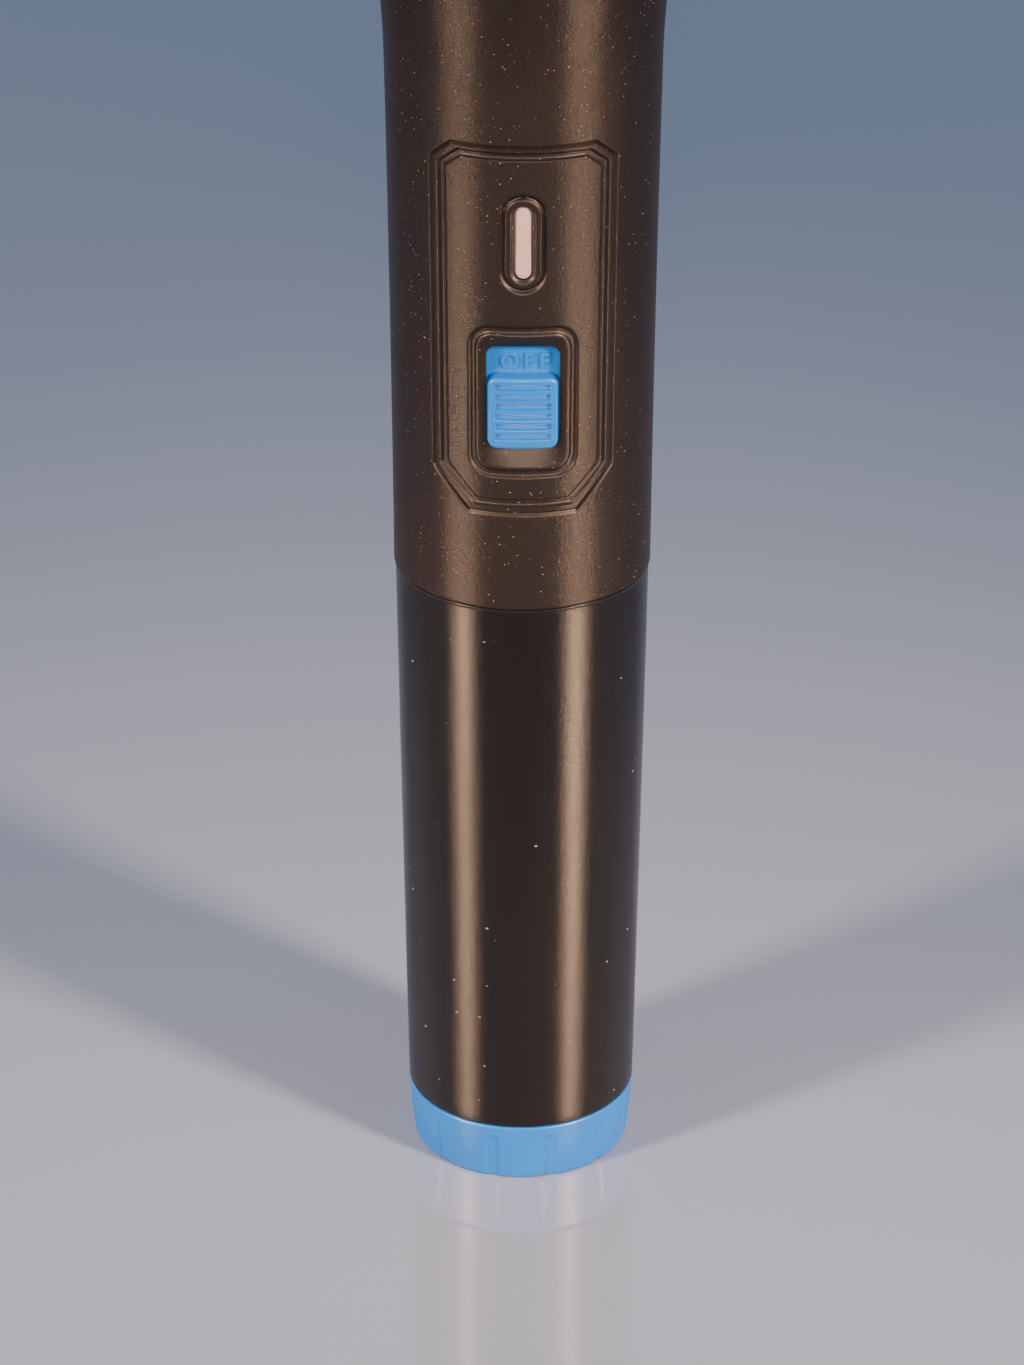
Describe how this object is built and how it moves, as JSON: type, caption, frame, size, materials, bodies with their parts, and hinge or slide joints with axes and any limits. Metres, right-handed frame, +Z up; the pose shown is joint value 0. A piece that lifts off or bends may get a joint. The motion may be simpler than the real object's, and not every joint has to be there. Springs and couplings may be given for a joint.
{
  "type": "karaoke microphone",
  "caption": "Wireless hand-held karaoke microphone: unscrewing battery sleeve with blue tail cap, slide switch, status light and ball grille.",
  "frame": {"origin": "centre of the tail cap's foot, on the surface it stands on", "axes": "+Z up the microphone's axis to the grille, -Y out of the switch side, +X to the right of the switch as it faces the user"},
  "size_m": [0.052, 0.052, 0.255],
  "materials": {
    "shell_satin_black": "fine-textured satin black-brown",
    "barrel_satin_black": "smooth satin black-brown",
    "blue_abs": "bright blue moulded",
    "black_rubber": "moulded",
    "milky_lens": "translucent white",
    "black_nylon": "moulded",
    "black_abs_chassis": "moulded",
    "plated_steel": "nickel plated",
    "spring_steel": "nickel plated wire",
    "circuit_green": "solder mask",
    "chip_epoxy": "moulded epoxy",
    "white_nylon": "moulded",
    "led_resin": "clear epoxy",
    "cell_sleeve": "printed shrink sleeve",
    "copper_wire": "enamelled copper",
    "lead_red": "PVC",
    "lead_black": "PVC",
    "lead_white": "PVC",
    "capsule_abs": "moulded",
    "soft_iron": "zinc plated",
    "magnet_metal": "nickel plated",
    "film_clear": "thin polyester film",
    "collar_metal": "satin black paint",
    "grille_wire": "black painted woven wire",
    "foam_black": "open-cell foam"
  },
  "bodies": {
    "barrel": {"lower_barrel": "barrel_satin_black", "tail_cap": "blue_abs"},
    "joint_seal": {"joint_seal": "black_rubber"},
    "switch": {"switch_knob": "blue_abs", "switch_lever": "black_nylon"},
    "head_gasket": {"head_gasket": "black_rubber"},
    "head": {"head_collar": "collar_metal", "grille_basket": "grille_wire", "grille_band": "blue_abs", "grille_dome": "grille_wire", "windscreen_foam": "foam_black"},
    "handle": {"upper_shell": "shell_satin_black", "status_lens": "milky_lens", "slide_switch": "plated_steel", "circuit_board": "circuit_green", "status_led": "led_resin", "rf_shield": "plated_steel", "radio_chip": "chip_epoxy", "audio_chip": "chip_epoxy", "quartz_crystal": "plated_steel", "capsule_plug": "white_nylon", "board_screws": "plated_steel", "chassis": "black_abs_chassis", "cell_left": "cell_sleeve", "cell_right": "cell_sleeve", "spring_left": "spring_steel", "spring_right": "spring_steel", "contact_plate_left": "plated_steel", "contact_plate_right": "plated_steel", "link_plate": "plated_steel", "aerial_coil": "copper_wire", "aerial_lead": "lead_white", "battery_lead_left": "lead_red", "battery_lead_right": "lead_black", "capsule_lead_left": "lead_red", "capsule_lead_right": "lead_black", "head_socket": "black_nylon", "socket_screws": "plated_steel", "capsule_mount": "black_rubber", "capsule_case": "capsule_abs", "coil_carrier": "white_nylon", "capsule_yoke": "soft_iron", "capsule_magnet": "magnet_metal", "pole_piece": "soft_iron", "voice_coil": "copper_wire", "diaphragm": "film_clear", "capsule_guard": "capsule_abs"}
  },
  "joints": [
    {"name": "handle_turn", "type": "hinge", "parent": "barrel", "child": "joint_seal", "pos_m": [0, 0, 0.09333], "axis": [0, 0, 1], "range_deg": [0, 1080]},
    {"name": "handle_lift", "type": "slide", "parent": "joint_seal", "child": "handle", "axis": [0, 0, 1], "range_m": [0, 0.112]},
    {"name": "switch_slide", "type": "slide", "parent": "handle", "child": "switch", "axis": [0, 0, 1], "range_m": [0, 0.0041]},
    {"name": "head_turn", "type": "hinge", "parent": "handle", "child": "head_gasket", "pos_m": [0, 0, 0.1965], "axis": [0, 0, 1], "range_deg": [0, 1080]},
    {"name": "head_lift", "type": "slide", "parent": "head_gasket", "child": "head", "axis": [0, 0, 1], "range_m": [0, 0.034]}
  ]
}
